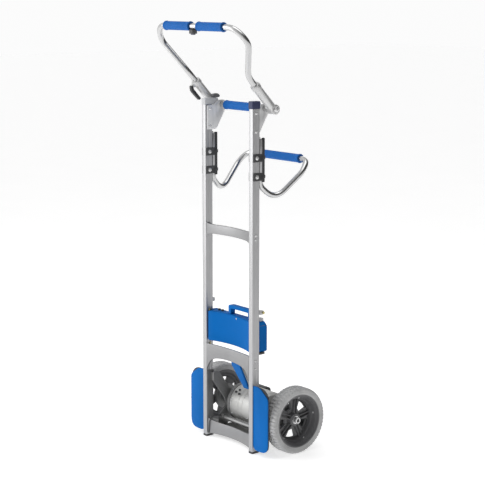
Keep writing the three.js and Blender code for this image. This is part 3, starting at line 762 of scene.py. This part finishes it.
def spoke_rib(side, angle, offset):
    """A tapering rib standing on the web, beside the middle of a spoke."""
    along = Vector((0, math.cos(angle), math.sin(angle)))
    across = Vector((0, -math.sin(angle), math.cos(angle)))
    centre = Vector((0, AXLE_Y, AXLE_Z))
    loops = []
    for radius, top, width in ((24, 236, 2.4), (50, 232, 2.0), (82, 231, 2.0)):
        loop = []
        for x, w in ((220, -width), (220, width), (top, width * 0.7), (top, -width * 0.7)):
            point = centre + along * radius + across * (offset + w)
            loop.append(place(side * x, point.y, point.z))
        loops.append(loop)
    return worked(rings(loops, closed=False), bevel(0.6, 2, 40))


def wheel_rim(side, first_hole):
    barrel = [(103.9, WHEEL_INNER), (103.9, WHEEL_OUTER), (100.5, WHEEL_OUTER)]
    barrel += [(99, 261.2), (98.4, 258), (95, 256.6), (93, 252), (92.2, 251.4)]
    barrel += [(91, 251.6), (85.4, 237), (84, 236.6), (83, 236.8)]
    barrel += [(79.6, 227), (79.4, 223), (77, WEB_OUTER), (74, WEB_OUTER)]
    barrel += [(74, WEB_INNER), (84, WEB_INNER), (92, WHEEL_INNER)]
    hub = [(AXLE_BORE, WHEEL_INNER), (27, WHEEL_INNER), (29, 208), (30, 212), (30, 221)]
    hub += [(27.5, 224), (25.5, 230), (24.6, 238), (23.4, 240), (21, 240.6), (16.5, 240.6)]
    hub += [(15.6, 239), (AXLE_BORE, 239)]
    parts = [turned([(r, side * x) for r, x in barrel], 96)]
    parts.append(turned([(r, side * x) for r, x in hub], 64))
    web = ring_plate(25, 78, side * WEB_INNER, side * WEB_OUTER)
    cutters = []
    for k in range(HOLES):
        middle = math.radians(first_hole) + k * 2 * math.pi / HOLES
        outline = []
        for radius, half, steps in ((HOLE_OUTER, 18, 8), (HOLE_INNER, 14, 5)):
            angles = [middle + math.radians(half) * (2 * i / steps - 1) for i in range(steps + 1)]
            if radius == HOLE_INNER:
                angles.reverse()
            outline += [
                (AXLE_Y + radius * math.cos(a), AXLE_Z + radius * math.sin(a)) for a in angles
            ]
        low, high = sorted((side * 205, side * 230))
        cutters.append(slab(outline, low, high, "x"))
    parts.append(worked(without(web, *cutters), bevel(1.2, 2, 35)))
    for k in range(HOLES):
        middle = math.radians(first_hole + 180 / HOLES) + k * 2 * math.pi / HOLES
        parts += [spoke_rib(side, middle, offset) for offset in (-6.5, 6.5)]
    return joined(*parts)


for label, side in SIDES:
    mesh_data = turned(tyre_profile(side), 6 * TREAD_BLOCKS, wave=tread)
    piece = finished(f"tyre_{label}_tread", mesh_data, tyre, f"wheel_{label}", 35)
    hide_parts(f"tyre_{label}")
    first_hole = FIRST_HOLE[label]
    piece = finished(
        f"rim_{label}_spoked", wheel_rim(side, first_hole), rim_plastic, f"wheel_{label}",
        35,
    )
    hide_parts(f"rim_{label}")
    out = (side, 0, 0)
    places = []
    for k in range(HOLES):
        angle = math.radians(first_hole + (180 + 360 * k) / HOLES)
        places.append((around_axle(88, angle, side * 243.2), out, 2.8, 2.0))
    screws(f"rim_{label}_screws", places, f"wheel_{label}")
    cap = washer(around_axle(0, 0, side * 240.7), out, 10.6, 16, 1.6, 40)
    finished(f"hub_washer_{label}", cap, zinc, f"wheel_{label}", 35)

# ---------------------------------------------------------------- drive unit
DRUM_RADIUS = 75.0
DRUM_GROOVES = (  # from, to, how long each slope is, how deep
    (-66.6, -64.2, 0.6, 0.8),
    (-27, -24, 0.6, 0.7),
    (-21, -18, 0.6, 0.7),
    (0, 4, 1, 0.8),
    (60, 64, 1, 0.8),
)


def housing_body():
    skin = DRUM_RADIUS
    profile = [(AXLE_BORE, -75.7), (72, -75.7), (74, -75), (skin, -73.6), (skin, -68)]
    for start, end, slope, depth in DRUM_GROOVES:
        floor = skin - depth
        profile += [(skin, start), (floor, start + slope), (floor, end - slope), (skin, end)]
    profile += [(skin, 88), (73.6, 92), (66.5, 103), (64.5, 104), (AXLE_BORE, 104)]
    return turned(profile, 120)


def housing_cover():
    profile = [(AXLE_BORE, -104), (55, -104), (57.6, -103.2), (62.6, -97.2), (65, -96), (69, -96)]
    profile += [(71, -95.2), (76.2, -90.6), (77, -89), (77, -84.5), (75.8, -83.8)]
    profile += [(75.8, -82.4), (77, -81.7), (77, -77.2), (76.2, -76.1), (AXLE_BORE, -76.1)]
    return turned(profile, 120)


piece = finished("gear_housing_drum", housing_body(), cast, "frame", 30)
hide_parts("gear_housing")
piece = finished("gear_cover_ring", housing_cover(), shaded_cast, "frame", 30)
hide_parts("gear_end_cover")
places = []
for k in range(10):
    angle = math.radians(18 + 36 * k)
    places.append((around_axle(66.5, angle, -96), (-1, 0, 0), 3.4, 2.4))
screws("gear_cover_screws", places)


def on_drum(degrees, x, radius=DRUM_RADIUS):
    """A point on the drum's skin and the direction straight out of it."""
    angle = math.radians(degrees)
    return around_axle(radius, angle, x), (0, math.cos(angle), math.sin(angle))


places = []
for degrees, x in ((112, -66), (160, -66), (112, 40), (150, 40), (205, -66), (205, 30)):
    centre, out = on_drum(degrees, x)
    places.append((centre, out, 3.2, 2.6))
screws("drum_screws", places)
glands = []
for degrees, x in ((135, -58), (125, -47), (138, -35)):
    centre, out = on_drum(degrees, x, 74.6)
    glands.append(washer(centre, out, 1.6, 5.2, 4.2))
    glands.append(button_screw(Vector(centre) + Vector(out) * 4.2, out, 3.0, 3.0))
finished("drum_cable_glands", joined(*glands), black, "frame", 35)

axle_half = [(10, 187), (22, 187), (24, 185.4), (34, 185.4), (36, 187), (50, 187), (52, 189)]
axle_half += [(52, 192.4), (50.6, 193), (50.6, 195), (52, 195.6), (52, 199), (50, 201), (32, 201)]
axle_half += [(30, 199.8), (18, 199.8), (16, 201), (10, 201), (10, 247), (9, 248), (ON_AXIS, 248)]
axle_line = [(r, -x) for r, x in reversed(axle_half)] + axle_half
piece = finished("axle_discs", turned(axle_line, 72), shaded_cast, "frame", 32)
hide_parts("axle")


NUT_STEPS = 48


def hexagonal(i, radius, x):
    """Pulls the outside of a ring in to a hexagon."""
    if radius < 12:
        return 0
    return radius * (hexagon(2 * math.pi * i / NUT_STEPS) - 1)


for label, side in SIDES:
    nut = [(6.5, 248.3), (13, 248.3), (13, 254.6), (12.2, 255.4), (10.8, 256), (7.6, 256), (6.5, 255)]
    mesh_data = turned([(r, side * x) for r, x in nut], NUT_STEPS, wave=hexagonal)
    piece = finished(f"wheel_nut_{label}_hex", mesh_data, zinc, "frame", 32)
    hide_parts(f"wheel_nut_{label}")
    plug = [(ON_AXIS, 248.2), (6.4, 248.2), (6.4, 250.6), (5.2, 251.4), (ON_AXIS, 251.4)]
    mesh_data = turned([(r, side * x) for r, x in plug], 32)
    finished(f"axle_plug_{label}", mesh_data, black, "frame", 32)

for label, side in SIDES:
    bearing = [(AXLE_BORE, 109.2), (14.6, 109.2), (16, 110.4), (16, 119.3), (22.6, 119.3), (24, 120.4)]
    bearing += [(24, 124.8), (22.8, 126), (17, 126.2), (15.4, 127), (AXLE_BORE, 127)]
    mesh_data = turned([(r, side * x) for r, x in bearing], 56)
    piece = finished(f"axle_bearing_{label}_ring", mesh_data, zinc, "frame", 32)
    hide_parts(f"axle_bearing_{label}")
    roller = [(6.4, 177), (17, 177), (19, 178), (21.2, 180), (22, 181.6), (22, 185.4), (21, 186.5)]
    roller += [(22, 187.6), (22, 191.4), (21.2, 193), (19, 195), (17, 196), (6.4, 196)]
    mesh_data = turned([(r, side * x) for r, x in roller], 56, ROLLER_Y, ROLLER_Z)
    piece = finished(
        f"arm_roller_{label}_ring", mesh_data, black, f"arm_roller_{label}", 32
    )
    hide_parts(f"arm_roller_{label}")

tie = turned(plain_bar(TIE_RADIUS, TIE_END, 1.2), 32, TIE_Y, TIE_Z)
piece = finished("tie_tube_bar", tie, dull_tube, "frame", 40)
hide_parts("tie_tube")

# Thin dark sheets on the inner faces of the uprights: painted shade, standing for the shade that falls
# on those faces.
for label, side in SIDES:
    x0, x1 = sorted((side * 130.0, side * 131.9))
    corners = [(1.6, 80, 3), (32.2, 80, 3), (32.2, 228, 3), (36, 232, 2), (36, 272, 5), (1.6, 272, 5)]
    sheet = worked(slab(arc_points(corners), x0, x1, "x"), bevel(0.5, 2))
    finished(f"painted_shade_sheet_{label}", sheet, shaded_cast, "frame")

# Cable from the left upright's foot to a clip on the tie tube, and the clip's two rings.
route = [
    (-127, 5, 15),
    (-121, 5, 66, 12),
    (-116, 12, 84, 8),
    (-104, 38, 88, 8),
    (-101.5, 53, 84),
]
finished("foot_cable", swept(path_of(route), 1.7, 12), black, "frame", 60)
clamp_rings = []
for x in (-106, -97):
    half = [(13.8, 2.4), (13.2, 3), (10.2, 3)]
    profile = [(r, x - w) for r, w in reversed(half)] + [(r, x + w) for r, w in half]
    clamp_rings.append(turned(profile, 36, TIE_Y, TIE_Z))
finished("tie_tube_rings", joined(*clamp_rings), shaded_cast, "frame", 35)

# ---------------------------------------------------------------- fastenings
CLAMP_BOLTS = (1144, 1073)
BRACKET_BOLTS = (1311, 1242)
SMALL_SCREWS = (852, 836, 366, 334, 250, 60, 34)
CLAMP_OUTER = UPRIGHT_OUTER + 3
CLAMP_INNER = UPRIGHT_INNER - 3
BRACKET_INNER = UPRIGHT_INNER - 5.3
places = []
inner_places = []
for side in (-1, 1):
    out = (side, 0, 0)
    inward = (-side, 0, 0)
    for z in CLAMP_BOLTS:
        places.append(((side * CLAMP_OUTER, 19, z), out, 6.2, 3.2))
        inner_places.append(((side * CLAMP_INNER, 19, z), inward, 6.2, 3.2))
    for z in BRACKET_BOLTS:
        places.append(((side * CHANNEL_FLOOR, 17, z), out, 5.4, 3.2))
        inner_places.append(((side * BRACKET_INNER, 19, z), inward, 5.4, 3.2))
    for z in SMALL_SCREWS:
        places.append(((side * CHANNEL_FLOOR, 17, z), out, 4.0, 2.4))
    places.append(((side * PIVOT_END, PIVOT_Y, PIVOT_Z), out, 8.2, 3.6))
    places.append(((side * 196.0, *along_socket(14, 0)), out, 2.6, 1.6))
screws("frame_screws", places)
clips = []
for z in (515, 378):
    corners = [(13, z - 7, 1.5), (21, z - 7, 1.5), (21, z + 7, 1.5), (13, z + 7, 1.5)]
    for side in (-1, 1):
        x0, x1 = sorted((side * 129.4, side * 133.5))
        clips.append(slab(arc_points(corners), x0, x1, "x"))
clip_mesh = worked(joined(*clips), bevel(0.8, 3))
finished("battery_guide_clips", clip_mesh, brass, "frame")
pins = []
for side in (-1, 1):
    profile = [(ON_AXIS, 146), (3, 146), (3, 160.5), (4.6, 161), (5.2, 162), (5.2, 165)]
    profile += [(4.4, 166), (ON_AXIS, 166)]
    pins.append(turned([(r, side * x) for r, x in profile], 24, 47, 553))
plates = []
plate_corners = [(34.2, 545, 2), (54, 545, 6), (54, 561, 6), (34.2, 561, 2)]
for side in (-1, 1):
    x0, x1 = sorted((side * 145, side * 158.5))
    plates.append(slab(arc_points(plate_corners), x0, x1, "x"))
finished("latch_plates", worked(joined(*plates), bevel(1.0, 3)), grey, "frame")
finished("latch_pins", joined(*pins), brass, "frame", 35)
screws("frame_inner_screws", inner_places)


def leg_sheet(side, front, back, low, high):
    """Matching cheeks on both sides of a straight leg of the lower handle."""
    parts = []
    for inner, outer in ((130.2, 131.8), (154.8, 156.4)):
        x0, x1 = sorted((side * inner, side * outer))
        outline = [(front, low, 2), (back, low, 3), (back, high, 5), (front, high, 2)]
        parts.append(slab(arc_points(outline), x0, x1, "x"))
    return worked(joined(*parts), bevel(0.4, 2))


for label, side in SIDES:
    mesh_data = leg_sheet(side, 34, 44, 1057, 1214)
    finished(f"leg_channel_{label}", mesh_data, upright_metal, "frame")
    # Black cheeks over the sides of the leg tube behind the uprights, so that the chrome tube shows
    # dark there.
    mesh_data = leg_sheet(side, 44.3, 57, 1052, 1219)
    finished(f"leg_strip_{label}", mesh_data, black, "frame")

# ---------------------------------------------------------------- battery details
SEAM_Z = 498.0
SEAM_HEIGHT = 1.4
seam_corners = [
    (40, SEAM_Z, 0.3),
    (72, SEAM_Z, 0.3),
    (72, SEAM_Z + SEAM_HEIGHT, 0.3),
    (40, SEAM_Z + SEAM_HEIGHT, 0.3),
]
seam = []
for side in (-1, 1):
    low, high = sorted((side * 149.2, side * 150.3))
    seam.append(slab(arc_points(seam_corners, 2), low, high, "x"))
finished("battery_seam", joined(*seam), black, "battery")
lamp = button_screw((23, 27.2, 507), (0.05, -1, 0), 3.4, 1.2)
finished("battery_lamp", lamp, grey, "battery")
caps = []
for x in (-104, -84):
    base = place(x, 44, 516.3)
    profile = [(5.5, 0), (5.5, 2.2), (4.6, 2.8), (5.0, 3.4), (5.2, 6.2), (4.2, 6.7), (ON_AXIS, 6.8)]
    loops = []
    for radius, height in profile:
        loop = []
        for i in range(24):
            angle = 2 * math.pi * i / 24
            reach = radius - (0.35 if height in (3.4, 6.2) and i % 2 else 0)
            loop.append(base + Vector((reach * math.cos(angle), reach * math.sin(angle), height)) * MM)
        loops.append(loop)
    caps.append(rings(loops, closed=False))
for label, cap in zip(("left", "right"), caps):
    piece = finished(f"battery_knob_{label}_cap", cap, black, "battery", 35)
    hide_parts(f"battery_knob_{label}")

# ---------------------------------------------------------------- the rest of the CAD
for name, width, material in (
    ("handle_bracket_left", 0.8, plate_metal),
    ("handle_bracket_right", 0.8, plate_metal),
    ("handle_socket_left", 0.7, socket_metal),
    ("handle_socket_right", 0.7, socket_metal),
    ("top_clamp", 1.6, grey),
    ("control_box", 3.0, navy),
    ("handle_clamp_upper_left", 1.6, black),
    ("handle_clamp_upper_right", 1.6, black),
    ("handle_clamp_lower_left", 1.6, black),
    ("handle_clamp_lower_right", 1.6, black),
    ("wheel_guard_left", 1.4, blue),
    ("wheel_guard_right", 1.4, blue),
    ("guard_liner_left", 0.8, black),
    ("guard_liner_right", 0.8, black),
    ("axle_plate_left", 1.2, shaded_cast),
    ("axle_plate_right", 1.2, shaded_cast),
    ("motor_cover", 3.0, black),
    ("drive_bracket", 1.2, blue),
    ("drive_mount", 2.0, cast),
    ("climbing_arm_left", 1.2, shaded_cast),
    ("climbing_arm_right", 1.2, shaded_cast),
    ("battery_case", 5.0, blue),
    ("battery_handle", 2.6, blue),
    ("battery_dock", 1.2, black),
    ("switch_housing", 1.5, black),
    ("switch_trigger", 0.8, navy),
    ("release_lever", 1.6, black),
    ("lock_pawl", 1.0, rim_plastic),
    ("charging_socket", 1.2, grey),
):
    softened(name, width, material, 4 if width > 2 else 2)

# ---------------------------------------------------------------- studio
floor = mesh_of(
    [(-30, -30, -0.0005), (30, -30, -0.0005), (30, 30, -0.0005), (-30, 30, -0.0005)],
    [(0, 1, 2, 3)],
)
stage = bpy.data.objects.new("studio_floor", floor)
bpy.context.scene.collection.objects.link(stage)
pale = Nodes("studio_paper")
soft = pale.noise(2.5, 2)
pale.link(
    pale.ramp(soft, [(0.3, (0.86, 0.86, 0.86)), (0.7, (0.89, 0.89, 0.89))]),
    pale.shader.inputs["Base Color"],
)
pale.shader.inputs["Emission Color"].default_value = (1, 1, 1, 1)
pale.shader.inputs["Emission Strength"].default_value = 0.52
pale.shader.inputs["Roughness"].default_value = 0.95
pale.shader.inputs["Specular IOR Level"].default_value = 0.1
floor.materials.append(pale.material)

world = bpy.data.worlds.new("studio")
bpy.context.scene.world = world
world.use_nodes = True
air = world.node_tree
sky = air.nodes["Background"]
paths = air.nodes.new("ShaderNodeLightPath")
where = air.nodes.new("ShaderNodeTexCoord")
split = air.nodes.new("ShaderNodeSeparateXYZ")
air.links.new(where.outputs["Generated"], split.inputs["Vector"])
# What metal reflects: a bright ceiling, darker walls and a pale floor.
walls = air.nodes.new("ShaderNodeValToRGB")
elements = walls.color_ramp.elements
for position, level in ((0.0, 0.4), (0.46, 0.2), (0.56, 0.1), (0.74, 0.32), (1.0, 0.7)):
    element = elements.new(position) if 0 < position < 1 else elements[int(position)]
    element.position = position
    element.color = (level, level, level, 1)
# Walls on the right of the truck are darker, so that its side faces stand out.
turn = air.nodes.new("ShaderNodeVectorMath")
turn.operation = "DOT_PRODUCT"
turn.inputs[1].default_value = (0.8, 0.6, 0.0)
air.links.new(where.outputs["Generated"], turn.inputs[0])
fall = air.nodes.new("ShaderNodeMapRange")
fall.inputs["From Min"].default_value = -0.7
fall.inputs["From Max"].default_value = 0.7
fall.inputs["To Min"].default_value = 1.5
fall.inputs["To Max"].default_value = 0.12
air.links.new(turn.outputs["Value"], fall.inputs["Value"])
height = air.nodes.new("ShaderNodeMapRange")
height.inputs["From Min"].default_value = -1.0
air.links.new(split.outputs["Z"], height.inputs["Value"])
air.links.new(height.outputs["Result"], walls.inputs["Fac"])
lit = air.nodes.new("ShaderNodeMix")
lit.data_type = "RGBA"
air.links.new(paths.outputs["Is Glossy Ray"], lit.inputs[0])
lit.inputs[6].default_value = (0.62, 0.62, 0.62, 1)
air.links.new(walls.outputs["Color"], lit.inputs[7])
graded = air.nodes.new("ShaderNodeVectorMath")
graded.operation = "SCALE"
air.links.new(lit.outputs[2], graded.inputs[0])
air.links.new(fall.outputs["Result"], graded.inputs["Scale"])
shown = air.nodes.new("ShaderNodeMix")
shown.data_type = "RGBA"
air.links.new(paths.outputs["Is Camera Ray"], shown.inputs[0])
air.links.new(graded.outputs["Vector"], shown.inputs[6])
shown.inputs[7].default_value = (0.97, 0.97, 0.97, 1)
air.links.new(shown.outputs[2], sky.inputs["Color"])
sky.inputs["Strength"].default_value = 1.0


def panel_light(name, location, target, size, power):
    light = bpy.data.lights.new(name, "AREA")
    light.shape = "RECTANGLE"
    light.size, light.size_y = size
    light.energy = power
    lamp = bpy.data.objects.new(name, light)
    bpy.context.scene.collection.objects.link(lamp)
    lamp.location = location
    lamp.rotation_mode = "QUATERNION"
    lamp.rotation_quaternion = (Vector(target) - Vector(location)).to_track_quat("-Z", "Y")


panel_light("key", (-2.4, -3.0, 1.7), (0, 0, 0.8), (2.4, 3.0), 56)
panel_light("above", (0.6, 0.2, 4.2), (0, 0, 0.4), (2.6, 2.6), 34)
panel_light("back", (-2.2, 2.8, 2.2), (0, 0, 0.8), (2.0, 2.0), 10)
bpy.context.scene.view_settings.view_transform = "Standard"

# ---------------------------------------------------------------- camera
camera_data = bpy.data.cameras.new("camera")
camera_data.sensor_width = 36
camera_data.lens = 103.918
camera_data.clip_end = 100
camera = bpy.data.objects.new("camera", camera_data)
bpy.context.scene.collection.objects.link(camera)
camera.location = (4.13925, -3.33436, 1.75712)
camera.rotation_euler = (math.radians(90 - 10.2047), 0, math.radians(50.9745))
bpy.context.scene.camera = camera
